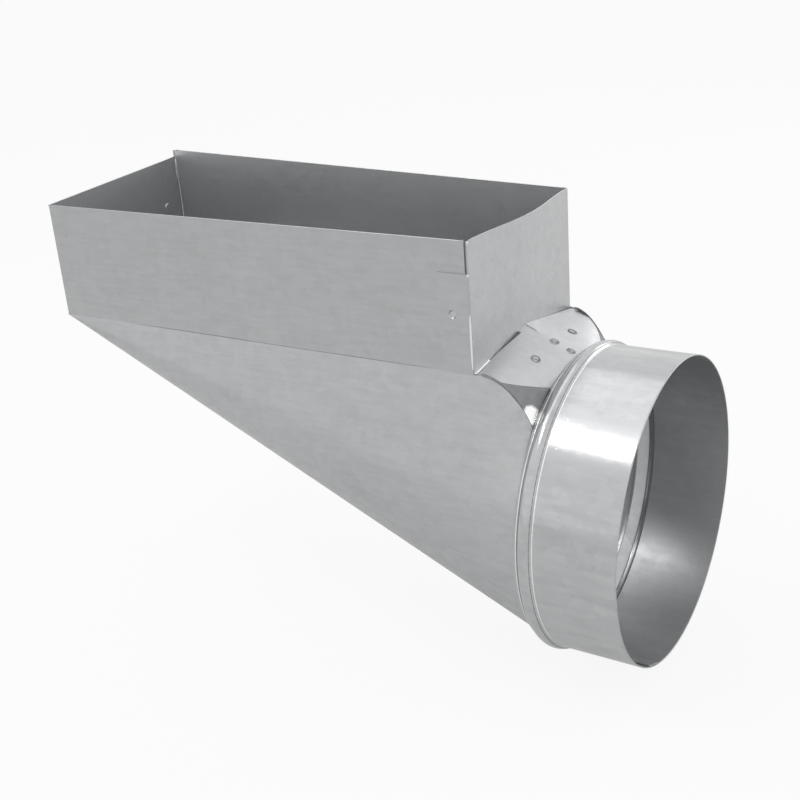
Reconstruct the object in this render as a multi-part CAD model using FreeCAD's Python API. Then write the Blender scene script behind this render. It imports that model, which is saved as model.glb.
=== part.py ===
"""Register end boot: an open rectangular register box whose bottom tapers into a round collar at one end.

Two bent sheets make the box and the taper, and a rolled collar is locked on their round neck by a bead.
Millimetres, +Z up. The origin is the centre of the collar's open end and +X runs out of the collar.
"""
import FreeCAD, Part
import math
import os

from FreeCAD import Vector

# Sheet and seams
sheet = 0.5
seam_gap = 0.06
bend_radius = 0.8
seam_flange = 16.0
front_flange_notch = 15.0
left_flange_notch = 16.6
bottom_lap = 9.0
bottom_tip = 1.0

# Register box
box_width = 105.0
box_length = 263.0
wall_height = 62.5
back_wall_rise = 9.5
end_wall_rise = 5.5
end_wall_bow = 4.5
end_wall_foot = 12.5

# Round end, with its axis along X
collar_radius = 76.0
collar_reach = 78.2
collar_drop = 78.6
neck_step = 3.4
bead_reach = 34.0
bead_width = 7.0
bead_rise = 1.8
collar_tail = 2.8
collar_seam_angle = 160.0
collar_seam_lap = 12.0
collar_seam_lift = 0.3

# Throat between the box's end wall and the top of the neck
throat_reach = 27.5
throat_peak = 7.6
throat_ridge_turn = 0.03
throat_neck_step = 1.0
throat_underlap = 5.0
throat_tuck_gap = 0.35
corner_end_angle = 44.0
corner_angle_power = 4.0
corner_fade_power = 2.0
throat_fold_angle = 23.0
fold_angle_power = 2.9
fold_radius_power = 1.8
throat_slot_start = 38.5
throat_slot_end = 7.7
throat_slot_width = 1.6
throat_slit_length = 6.0
throat_slit_width = 0.7

# Clinch buttons pressed through the sheets
deep_button_radius = 2.3
deep_button_depth = 1.5
shallow_button_radius = 2.1
shallow_button_depth = 0.8
button_wall = 0.35
button_taper = 0.7
throat_button_spread = 21.0
throat_button_reach = 15.5
throat_button_pitch = 8.6
flange_button_reach = 9.2
flange_button_drop = 34.4
left_button_reach = 13.0
left_button_rise = 39.6
bottom_button_shares = (0.25, 0.5, 0.75)
collar_button_reach = 10.0

# Places worked out from the sizes above
half_width = box_width / 2
neck_radius = collar_radius - neck_step
throat_neck_radius = neck_radius + throat_neck_step
end_face = -collar_reach
left_face = end_face - box_length
neck_x = end_face + throat_reach
bead_x = end_face + bead_reach
crease_z = collar_drop
rim_z = crease_z + wall_height
layer = sheet + seam_gap
flare_radius = collar_radius + bead_rise - sheet - seam_gap
tail_radius = throat_neck_radius + sheet + 2 * seam_gap
bottom_slope = math.atan2(crease_z + neck_radius, neck_x - left_face)
taper_start = left_face + bend_radius + sheet / math.sin(bottom_slope)
corner_leg = bend_radius + 2 * sheet
tip_turn = bottom_tip / 2 / neck_radius
seam_turn = seam_gap / neck_radius

# Working values of the lofts and cuts, which are no sizes of the part
throat_steps = 6
side_steps = 16
past = 20.0
clear_radius = collar_radius + bead_rise + past


def polar(x, radius, angle):
    """Point at an angle from straight up, turned towards +Y, about the collar's axis."""
    return Vector(x, radius * math.sin(angle), radius * math.cos(angle))


def block(x0, x1, y0, y1, z0, z1):
    return Part.makeBox(x1 - x0, y1 - y0, z1 - z0, Vector(x0, y0, z0))


def fuse_all(solids):
    return solids[0].multiFuse(solids[1:]).removeSplitter()


# Bent strips: a sheet's section as a path with rounded bends, given its thickness on one side
def turn_at(before, here, after):
    first = (here - before).normalize()
    second = (after - here).normalize()
    return first, second, math.atan2(first.x * second.y - first.y * second.x, first.dot(second))


def offset_path(path, distance):
    """Path moved to its left by a distance, with mitred corners."""
    moved = []
    last = len(path) - 1
    for index, here in enumerate(path):
        first = (here - path[index - 1]).normalize() if index else (path[1] - here).normalize()
        second = (path[index + 1] - here).normalize() if index < last else first
        across = Vector(-first.y - second.y, first.x + second.x, 0).normalize()
        moved.append(here + across * (distance / across.dot(Vector(-first.y, first.x, 0))))
    return moved


def rounded_edges(path, radii):
    """Lines along a path, with an arc at each inner corner."""
    edges = []
    start = path[0]
    for index in range(1, len(path) - 1):
        first, second, turn = turn_at(path[index - 1], path[index], path[index + 1])
        setback = radii[index - 1] * math.tan(abs(turn) / 2)
        entry = path[index] - first * setback
        leave = path[index] + second * setback
        inward = (second - first).normalize()
        middle = path[index] + inward * (radii[index - 1] * (1 / math.cos(turn / 2) - 1))
        edges.append(Part.makeLine(start, entry))
        edges.append(Part.Arc(entry, middle, leave).toShape())
        start = leave
    edges.append(Part.makeLine(start, path[-1]))
    return edges


def strip_face(points, thickness, radius):
    """Flat face of a bent strip in the XY plane. Its thickness lies on the path's left."""
    path = [Vector(x, y, 0) for x, y in points]
    inner = offset_path(path, thickness)
    turns = [turn_at(path[i - 1], path[i], path[i + 1])[2] for i in range(1, len(path) - 1)]
    outer_radii = [radius + thickness if turn > 0 else radius for turn in turns]
    inner_radii = [radius if turn > 0 else radius + thickness for turn in turns]
    edges = rounded_edges(path, outer_radii)
    edges.append(Part.makeLine(path[-1], inner[-1]))
    edges += rounded_edges(inner, inner_radii)
    edges.append(Part.makeLine(inner[0], path[0]))
    return Part.Face(Part.Wire(Part.__sortEdges__(edges)))


def revolved_strip(points, thickness, radius):
    """Strip in (x, radius) turned about the collar's axis."""
    face = strip_face(points, thickness, radius)
    return face.revolve(Vector(0, 0, 0), Vector(1, 0, 0), 360)


def sector(x0, x1, start_angle, end_angle, radius):
    """Wedge about the collar's axis between two angles from straight up, towards +Y."""
    span = math.degrees(end_angle - start_angle)
    wedge = Part.makeCylinder(radius, x1 - x0, Vector(0, 0, 0), Vector(0, 0, 1), span)
    wedge.rotate(Vector(0, 0, 0), Vector(0, 1, 0), 90)
    wedge.rotate(Vector(0, 0, 0), Vector(1, 0, 0), 180 - math.degrees(end_angle))
    wedge.translate(Vector(x0, 0, 0))
    return wedge


# The taper: flat sides and bottom joined by oblique cones whose points are the box's left corners
def tangent_angle(inset):
    """Angle on the neck at which a flat side of the taper touches it."""
    reach = math.hypot(half_width - inset, crease_z)
    return math.atan2(half_width - inset, crease_z) + math.acos((neck_radius - inset) / reach)


def share_along(x, inset):
    """How far a station lies from the taper's left edge to the neck, from 0 to 1."""
    start = left_face + inset / math.sin(bottom_slope)
    return (x - start) / (neck_x - start)


def throat_share(x):
    """How far a station lies from the box's end wall to the neck, from 0 to 1."""
    return min(1.0, max(0.0, (x - end_face) / throat_reach))


def corner_angle(x):
    """Angle of the taper's cut edge beside the throat, from the box to the neck."""
    start = math.atan2(half_width, crease_z)
    return start + (math.radians(corner_end_angle) - start) * throat_share(x) ** corner_angle_power


def fold_angle(x):
    """Angle of the throat's fold, which starts at the box's corner and leaves the taper's cut edge."""
    start = math.atan2(half_width, crease_z)
    return start + (math.radians(throat_fold_angle) - start) * throat_share(x) ** fold_angle_power


def side_radius(angle, x, inset):
    """Radius of the taper's side beside the throat: the flat side fading into the round neck."""
    fade = 1 - throat_share(x) ** corner_fade_power
    low = low_side_point(x, inset)
    flat = (neck_radius - inset) / math.cos(tangent_angle(inset) - angle)
    return fade * flat + (1 - fade) * math.hypot(low.y, low.z)


def low_side_point(x, inset):
    """Where the flat side meets the cone, on the +Y side."""
    share = share_along(x, inset)
    touch = polar(x, neck_radius - inset, tangent_angle(inset))
    corner = Vector(x, half_width - inset, crease_z)
    return corner * (1 - share) + touch * share


def circle_edge(x, radius, start, finish):
    """Arc about the collar's axis between two angles from straight up."""
    return Part.Arc(*[polar(x, radius, start + (finish - start) * step / 2) for step in range(3)]).toShape()


def mirrored(place):
    return Vector(place.x, -place.y, place.z)


def mirror_edge(edge):
    return edge.mirror(Vector(0, 0, 0), Vector(0, 1, 0))


def side_edge(x, inset):
    """Edge from the box's crease, or from the corner beside the throat, down to the cone."""
    low = low_side_point(x, inset)
    if x <= end_face:
        return Part.makeLine(Vector(x, half_width - inset, crease_z), low)
    start = corner_angle(x)
    finish = math.atan2(low.y, low.z)
    if x >= neck_x:
        return circle_edge(x, neck_radius - inset, start, finish)
    angles = [start + (finish - start) * step / side_steps for step in range(side_steps + 1)]
    curve = Part.BSplineCurve()
    curve.interpolate([polar(x, side_radius(angle, x, inset), angle) for angle in angles])
    return curve.toShape()


def cone_edge(x, inset):
    """Round edge from the flat side to the flat bottom, whose last tip keeps a small width."""
    share = share_along(x, inset)
    radius = share * (neck_radius - inset)
    centre = Vector(x, (1 - share) * (half_width - inset), (1 - share) * crease_z)
    start = tangent_angle(inset)
    finish = math.pi - (tip_turn if x >= neck_x else 0)
    places = [centre + polar(0, radius, start + (finish - start) * step / 2) for step in range(3)]
    return Part.Arc(*places).toShape()


def back_path(x, inset):
    """Section of the back half: its flat side and its cone."""
    return [side_edge(x, inset), cone_edge(x, inset)]


def front_path(x, inset):
    """Section of the front half: its flat side, its cone and the flat bottom up to the back half's seam."""
    side, cone = [mirror_edge(edge) for edge in back_path(x, inset)]
    if x >= neck_x:
        bottom = circle_edge(x, neck_radius - inset, tip_turn - math.pi, seam_turn - tip_turn - math.pi)
        return [side, cone, bottom]
    start = cone.Vertexes[1].Point
    seam = Vector(x, -start.y - seam_gap, start.z)
    return [side, cone, Part.makeLine(start, seam)]


def band_wire(x, path, inset=0.0):
    """Closed section of one sheet, between its outer and its inner surface."""
    outer = path(x, inset)
    inner = path(x, inset + sheet)
    first = Part.makeLine(outer[0].Vertexes[0].Point, inner[0].Vertexes[0].Point)
    last = Part.makeLine(outer[-1].Vertexes[-1].Point, inner[-1].Vertexes[-1].Point)
    return Part.Wire(Part.__sortEdges__(outer + [last] + inner + [first]))


def throat_stations():
    """Stations from the end wall to the neck, shared by the taper and the throat that it lies on."""
    return [end_face + throat_reach * step / throat_steps for step in range(throat_steps + 1)]


def taper_half(path, side, top):
    """Long wall and the taper's half below it, straight up to the end wall, then easing into the neck."""

    def walled_path(x, inset):
        wall_y = side * (half_width - inset)
        return [Part.makeLine(Vector(x, wall_y, top), Vector(x, wall_y, crease_z))] + path(x, inset)

    straight = Part.makeLoft([band_wire(x, walled_path) for x in (taper_start, end_face)], True, True)
    corner = block(end_face - corner_leg, end_face + past, -box_width, box_width, crease_z, top + past)
    straight = straight.cut(corner)
    easing = Part.makeLoft([band_wire(x, path) for x in throat_stations()], True, False)
    return [straight, easing]


def neck_half(start_angle, end_angle):
    """Half of the round neck, whose end flares out inside the collar's bead."""
    flare_start = bead_x - (flare_radius - neck_radius)
    inner_radius = neck_radius - sheet
    path = [(neck_x, inner_radius), (flare_start, inner_radius), (bead_x, flare_radius - sheet)]
    ring = revolved_strip(path, sheet, bend_radius)
    return ring.common(sector(neck_x, bead_x + past, start_angle, end_angle, clear_radius))


# Clinch buttons
def button_cone(place, inward, radius, start, depth):
    """Cone with its full radius at a place on the surface, from a start on its axis down to its depth."""
    wide = radius - radius * (1 - button_taper) / depth * start
    return Part.makeCone(wide, radius * button_taper, depth - start, place + inward * start, inward)


def pressed(solid, place, inward, radius, depth):
    """Presses a cup into one sheet at a place on its outer surface."""
    cup = button_cone(place, inward, radius + button_wall, sheet / 2, depth + button_wall)
    hollow = button_cone(place, inward, radius, -sheet, depth)
    return solid.fuse(cup).cut(hollow)


def pressed_lap(outer, inner, place, inward, radius, depth):
    """Presses one cup through two lapped sheets, each sheet keeping its own wall."""
    grown = radius + button_wall + seam_gap
    return (pressed(outer, place, inward, radius, depth),
            pressed(inner, place + inward * layer, inward, grown, depth))


# Throat: the end wall's foot turned outwards, lying under the taper's cut edges
def fold_radius(x, inset):
    """Radius of the throat's fold, which stays high beside the box and dips under the collar's tail."""
    share = throat_share(x) ** fold_radius_power
    corner = side_radius(fold_angle(end_face), end_face, inset)
    return (1 - share) * corner + share * (throat_neck_radius - (inset - layer))


def throat_radius(angle, x, inset):
    """Radius of the throat's roof: two flat slopes with a rounded ridge, easing into the round neck."""
    share = throat_share(x)
    fold = fold_angle(x)
    turned = math.hypot(angle, throat_ridge_turn) * fold / math.hypot(fold, throat_ridge_turn)
    edge_radius = fold_radius(x, inset)
    ridge = (1 - share) * (crease_z + throat_peak) + share * throat_neck_radius - (inset - layer)
    lean = math.atan2(ridge - edge_radius * math.cos(fold), edge_radius * math.sin(fold))
    flat = ridge * math.cos(lean) / math.cos(turned - lean)
    arched = ridge + (edge_radius - ridge) * (angle / fold) ** 2
    fade = 1 - share ** corner_fade_power
    return fade * flat + (1 - fade) * arched


def throat_side_radius(angle, x, inset):
    """Radius of the throat's side: under the taper as far as its cut edge, then on to the fold."""
    corner = corner_angle(x)
    tucked = side_radius(max(angle, corner), x, inset + throat_tuck_gap * throat_share(x))
    if angle >= corner:
        return tucked
    turned = (corner - angle) / (corner - fold_angle(x))
    return (1 - turned) * tucked + turned * fold_radius(x, inset)


def curve_through(places):
    curve = Part.BSplineCurve()
    curve.interpolate(places)
    return curve.toShape()


def throat_path(x, inset):
    """Section of the throat from its tuck under the back sheet over the ridge to the front one."""
    fold = fold_angle(x)
    tuck = corner_angle(x) + throat_underlap / neck_radius
    side_angles = [tuck + (fold - tuck) * step / side_steps for step in range(side_steps)]
    roof_angles = [fold * (1 - step / side_steps) for step in range(2 * side_steps + 1)]
    side = [polar(x, throat_side_radius(angle, x, inset), angle) for angle in side_angles]
    roof = [polar(x, throat_radius(angle, x, inset), angle) for angle in roof_angles]
    side.append(roof[0])
    far_side = [mirrored(place) for place in reversed(side)]
    return [curve_through(side), curve_through(roof), curve_through(far_side)]


def throat_surface(reach, spread):
    """Place on the throat's outer surface, and the direction into the duct there."""
    x = end_face + reach

    def at(along, aside):
        angle = math.atan2(spread + aside, crease_z)
        return polar(along, throat_radius(angle, along, layer), angle)

    across = at(x, sheet) - at(x, -sheet)
    along = at(x + sheet, 0) - at(x - sheet, 0)
    inward = across.cross(along).normalize()
    return at(x, 0), inward if inward.z < 0 else inward * -1


def make_throat():
    """Flap with its slot at the end wall, its slit on the ridge and its four buttons."""
    root = Part.Face(band_wire(end_face, throat_path, layer)).extrude(Vector(-sheet, 0, 0))
    roof = Part.makeLoft([band_wire(x, throat_path, layer) for x in throat_stations()], True, False)
    tuck = Vector(bead_reach - throat_reach - bead_width / 2, 0, 0)
    tip = Part.Face(band_wire(neck_x, throat_path, layer)).extrude(tuck)
    flap = root.multiFuse([roof, tip])
    slot = Part.makePolygon([Vector(end_face, -throat_slot_start, crease_z - past),
                             Vector(end_face + throat_slot_width, -throat_slot_end, crease_z - past),
                             Vector(end_face, -throat_slot_end, crease_z - past),
                             Vector(end_face, -throat_slot_start, crease_z - past)])
    flap = flap.cut(Part.Face(slot).extrude(Vector(0, 0, 2 * past)))
    half_slit = throat_slit_width / 2
    slit_end = end_face + throat_slit_length
    flap = flap.cut(block(end_face, slit_end, -half_slit, half_slit, crease_z - past, rim_z))
    deep = (deep_button_radius, deep_button_depth)
    shallow = (shallow_button_radius, shallow_button_depth)
    buttons = [(throat_button_reach, 0, deep), (throat_button_reach + throat_button_pitch, 0, deep),
               (throat_button_reach, throat_button_spread, shallow),
               (throat_button_reach, -throat_button_spread, shallow)]
    for reach, spread, size in buttons:
        place, inward = throat_surface(reach, spread)
        flap = pressed(flap, place, inward, *size)
    return flap


# Box walls
def sloped_top(places, push):
    """Everything above a wall's top edge, pushed through the wall."""
    above = [Vector(place.x, place.y, rim_z + past) for place in (places[-1], places[0])]
    return Part.Face(Part.makePolygon(places + above + places[:1])).extrude(push)


def corner_strip(points, height):
    """Bent strip that stands on the crease."""
    face = strip_face(points, sheet, bend_radius)
    face.translate(Vector(0, 0, crease_z))
    return face.extrude(Vector(0, 0, height))


def left_edge():
    """Folded corner below the left end wall, where the flat bottom starts."""
    width = box_width - layer
    depth = taper_start - left_face
    corners = [Vector(left_face, -half_width, crease_z), Vector(taper_start, -half_width, crease_z),
               Vector(taper_start, -half_width, crease_z - depth * math.tan(bottom_slope))]
    return Part.Face(Part.makePolygon(corners + corners[:1])).extrude(Vector(0, width, 0))


def make_front_shell():
    """Left end wall, front wall and the front half of the taper, with its whole flat bottom."""
    wall_end = half_width - sheet - bend_radius - seam_gap
    path = [(left_face, wall_end), (left_face, -half_width), (taper_start, -half_width)]
    left_wall = corner_strip(path, wall_height + end_wall_rise)
    top = [Vector(left_face - past, -half_width - past, rim_z),
           Vector(left_face - past, corner_leg - half_width, rim_z),
           Vector(left_face - past, half_width, rim_z + end_wall_rise)]
    left_wall = left_wall.cut(sloped_top(top, Vector(2 * past, 0, 0)))
    neck = neck_half(seam_turn - tip_turn - math.pi, -math.radians(corner_end_angle))
    return fuse_all([left_wall, left_edge()] + taper_half(front_path, -1, rim_z) + [neck])


def bowed_wall():
    """Right end wall between its two bends: flat at its foot, with its top edge bowed outwards."""
    reach = half_width - corner_leg
    foot_z = crease_z + end_wall_foot
    shares = [step / side_steps for step in range(side_steps + 1)]
    places = [-reach + 2 * reach * share for share in shares]

    def section(height, bow):
        lines = []
        for x in (end_face, end_face - sheet):
            bows = [bow * math.cos(math.pi * y / (2 * reach)) ** 2 for y in places]
            lines.append([Vector(x + out, y, height) for out, y in zip(bows, places)])
        front, back = lines
        edges = [curve_through(front), curve_through(back),
                 Part.makeLine(front[-1], back[-1]), Part.makeLine(front[0], back[0])]
        return Part.Wire(Part.__sortEdges__(edges))

    upper = Part.makeLoft([section(foot_z, 0), section(rim_z, end_wall_bow)], True, True)
    lower = block(end_face - sheet, end_face, -reach, reach, crease_z, foot_z)
    peak = Vector(end_face - sheet, 0, crease_z + throat_peak - sheet / 2)
    feet = [Vector(end_face - sheet, side * (half_width - layer), crease_z) for side in (-1, 1)]
    opening = Part.Face(Part.makePolygon([feet[0], peak, feet[1], feet[0]])).extrude(Vector(sheet, 0, 0))
    return [upper, lower.cut(opening)]


def bottom_place(share, aside):
    """Place on the bottom's outer surface, to one side of the seam from the box's corner to the neck."""
    x = left_face + (neck_x - left_face) * share
    return Vector(x, half_width * (1 - share) + aside, crease_z - (x - left_face) * math.tan(bottom_slope))


def bottom_seam_lap():
    """Strip of the back sheet that steps inwards and runs under the front sheet's flat bottom."""
    into = Vector(math.sin(bottom_slope), 0, math.cos(bottom_slope))
    first = bottom_lap / (neck_x - left_face)
    last = 1 - (bottom_lap + 2 * sheet) / box_width

    def slab(low, high, depth, thickness):
        ends = [(first, low), (last, low), (last, high), (first, high)]
        corners = [bottom_place(share, aside) for share, aside in ends]
        face = Part.Face(Part.makePolygon(corners + corners[:1]))
        face.translate(into * depth)
        return face.extrude(into * thickness)

    step = slab(0, 2 * sheet, sheet / 2, sheet / 2 + layer)
    return [step, slab(-bottom_lap, 0, layer, sheet)]


def make_back_shell():
    """Back wall, right end wall with the throat, and the back half of the taper."""
    raised = wall_height + back_wall_rise
    outside = left_face - layer
    left_corner = corner_strip([(taper_start, half_width), (outside, half_width),
                                (outside, half_width - seam_flange)], raised)
    left_notch = block(outside - past, left_face - seam_gap / 2, 0, half_width - seam_gap,
                       rim_z + back_wall_rise - left_flange_notch, rim_z + past)
    left_corner = left_corner.cut(left_notch)
    reach = half_width - corner_leg
    right_corner = corner_strip([(end_face, reach), (end_face, half_width),
                                 (end_face - corner_leg, half_width)], wall_height)
    foot = -half_width - layer
    front_corner = corner_strip([(end_face - seam_flange, foot), (end_face, foot),
                                 (end_face, -reach)], wall_height)
    front_notch = block(end_face - seam_flange - past, end_face + past, foot - past, seam_gap - half_width,
                        rim_z - front_flange_notch, rim_z + past)
    foot_gap = block(end_face - seam_flange - past, end_face + past, foot - past, layer - half_width,
                     crease_z - past, crease_z + seam_gap)
    front_corner = front_corner.cut(front_notch).cut(foot_gap)
    straight, easing = taper_half(back_path, 1, rim_z + back_wall_rise)
    top = [Vector(outside, half_width - past, rim_z + back_wall_rise),
           Vector(end_face - corner_leg, half_width - past, rim_z),
           Vector(end_face, half_width - past, rim_z)]
    above = sloped_top(top, Vector(0, 2 * past, 0))
    neck = neck_half(math.radians(corner_end_angle), math.pi - tip_turn)
    walls = [left_corner.cut(above), straight.cut(above), right_corner, front_corner] + bowed_wall()
    return fuse_all(walls + [easing, neck, make_throat()] + bottom_seam_lap())


def clinch_seams(front_shell, back_shell):
    """Presses the buttons that hold the two sheets together."""
    size = (shallow_button_radius, shallow_button_depth)
    place = Vector(end_face - flange_button_reach, -half_width - layer, rim_z - flange_button_drop)
    back_shell, front_shell = pressed_lap(back_shell, front_shell, place, Vector(0, 1, 0), *size)
    place = Vector(left_face - layer, half_width - left_button_reach, crease_z + left_button_rise)
    back_shell, front_shell = pressed_lap(back_shell, front_shell, place, Vector(1, 0, 0), *size)
    into = Vector(math.sin(bottom_slope), 0, math.cos(bottom_slope))
    for share in bottom_button_shares:
        place = bottom_place(share, -bottom_lap / 2)
        front_shell, back_shell = pressed_lap(front_shell, back_shell, place, into, *size)
    return front_shell, back_shell


# Collar
def collar_profile():
    """Section of the collar in (x, radius): tail, bead, then the long straight end."""
    bead_start = bead_x - bead_width / 2
    bead_end = bead_x + bead_width / 2
    tail = bead_start - collar_tail

    def line_set(shift):
        stops = [(tail, tail_radius), (bead_start, collar_radius), (bead_x, collar_radius + bead_rise),
                 (bead_end, collar_radius), (0, collar_radius)]
        places = [Vector(x, radius - shift, 0) for x, radius in stops]
        edges = [Part.makeLine(places[0], places[1]), Part.Arc(places[1], places[2], places[3]).toShape(),
                 Part.makeLine(places[3], places[4])]
        return places, edges

    outer, outer_edges = line_set(0)
    inner, inner_edges = line_set(sheet)
    ends = [Part.makeLine(outer[0], inner[0]), Part.makeLine(outer[-1], inner[-1])]
    return Part.Face(Part.Wire(Part.__sortEdges__(outer_edges + inner_edges + ends)))


def make_round_collar():
    """Rolled ring with a lapped seam low on its front side, a bead and a tail that closes on the neck."""
    ring = collar_profile().revolve(Vector(0, 0, 0), Vector(1, 0, 0), 360)
    seam = -math.radians(collar_seam_angle)
    straight_start = bead_x + bead_width / 2
    slit = (seam_gap + collar_seam_lift) / collar_radius
    ring = ring.cut(sector(bead_x - past, past, seam, seam + slit, clear_radius))
    under = collar_radius - layer - collar_seam_lift
    joggle = 2 * sheet / collar_radius
    lap_turn = collar_seam_lap / collar_radius

    def tube(outer_radius):
        start = Vector(straight_start, 0, 0)
        along = Vector(1, 0, 0)
        inside = Part.makeCylinder(under - sheet, -straight_start, start, along)
        return Part.makeCylinder(outer_radius, -straight_start, start, along).cut(inside)

    lap = sector(straight_start, past, seam - joggle, seam + lap_turn, clear_radius)
    inner_layer = tube(under).common(lap)
    step = tube(collar_radius).common(sector(straight_start, past, seam - joggle, seam, clear_radius))
    collar = fuse_all([ring, inner_layer, step])
    button_angle = seam + lap_turn / 2
    for reach in (collar_button_reach, -straight_start - collar_button_reach):
        place = polar(-reach, collar_radius, button_angle)
        inward = polar(0, -1, button_angle)
        depth = shallow_button_depth + collar_seam_lift
        collar = pressed(collar, place, inward, shallow_button_radius, depth)
    return collar


def write(shapes):
    os.makedirs("parts", exist_ok=True)
    for name, shape in shapes.items():
        shape.exportStep("parts/" + name + ".step")
        print(name, "solids", len(shape.Solids), "valid", shape.isValid(), "volume", round(shape.Volume))


def main():
    front_shell, back_shell = clinch_seams(make_front_shell(), make_back_shell())
    round_collar = make_round_collar()
    write({"front_shell": front_shell, "back_shell": back_shell, "round_collar": round_collar})


if __name__ == "__main__":
    main()
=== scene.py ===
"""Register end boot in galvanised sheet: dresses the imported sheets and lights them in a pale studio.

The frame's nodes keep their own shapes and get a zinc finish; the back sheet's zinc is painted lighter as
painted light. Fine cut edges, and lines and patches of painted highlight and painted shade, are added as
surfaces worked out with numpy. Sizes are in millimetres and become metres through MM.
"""

import logging
import math
from dataclasses import dataclass
from enum import Enum

import bpy
import numpy as np
from mathutils import Matrix, Vector


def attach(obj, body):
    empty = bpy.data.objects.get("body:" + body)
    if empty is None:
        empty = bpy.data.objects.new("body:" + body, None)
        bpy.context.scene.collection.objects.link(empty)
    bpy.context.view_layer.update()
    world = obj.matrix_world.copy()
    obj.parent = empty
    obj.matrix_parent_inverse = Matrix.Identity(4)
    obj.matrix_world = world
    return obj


log = logging.getLogger("register_end_boot")
MM = 0.001
UP = (0.0, 0.0, 1.0)
ALONG_DUCT = (1.0, 0.0, 0.0)
DIAGONAL = math.sqrt(0.5)
WHITE = (1.0, 1.0, 1.0, 1.0)


class Side(Enum):
    """Long side of the part, as the sign of its Y."""

    FRONT = -1
    BACK = 1

    @property
    def word(self) -> str:
        """Word for the side in a piece's name."""
        return self.name.lower()


def linear(code: str) -> tuple[float, float, float, float]:
    """Turns an sRGB hex value into a linear colour.

    Args:
        code: six hex digits after a hash sign.

    Returns:
        Red, green, blue and an alpha of 1, linear.
    """
    shares = [int(code[i:i + 2], 16) / 255 for i in (1, 3, 5)]
    return (*[s / 12.92 if s <= 0.04045 else ((s + 0.055) / 1.055) ** 2.4 for s in shares], 1.0)


def add_node(tree: bpy.types.NodeTree, kind: str, settings: dict | None = None,
             links: dict | None = None) -> bpy.types.Node:
    """Adds a node to a tree.

    Args:
        tree: the node tree.
        kind: the node's type name.
        settings: values for its attributes, or for its inputs where the key is an input's name or number.
        links: output sockets to join, by the input's name or number.

    Returns:
        The new node.
    """
    node = tree.nodes.new(kind)
    for key, value in (settings or {}).items():
        if isinstance(key, int) or key in node.inputs:
            node.inputs[key].default_value = value
        else:
            setattr(node, key, value)
    for key, socket in (links or {}).items():
        tree.links.new(socket, node.inputs[key])
    return node


def new_material(name: str) -> tuple[bpy.types.Material, bpy.types.Node]:
    """Makes an empty node material.

    Args:
        name: the material's name.

    Returns:
        The material and its output node.
    """
    material = bpy.data.materials.new(name)
    material.use_nodes = True
    material.node_tree.nodes.clear()
    return material, add_node(material.node_tree, "ShaderNodeOutputMaterial")


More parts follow.
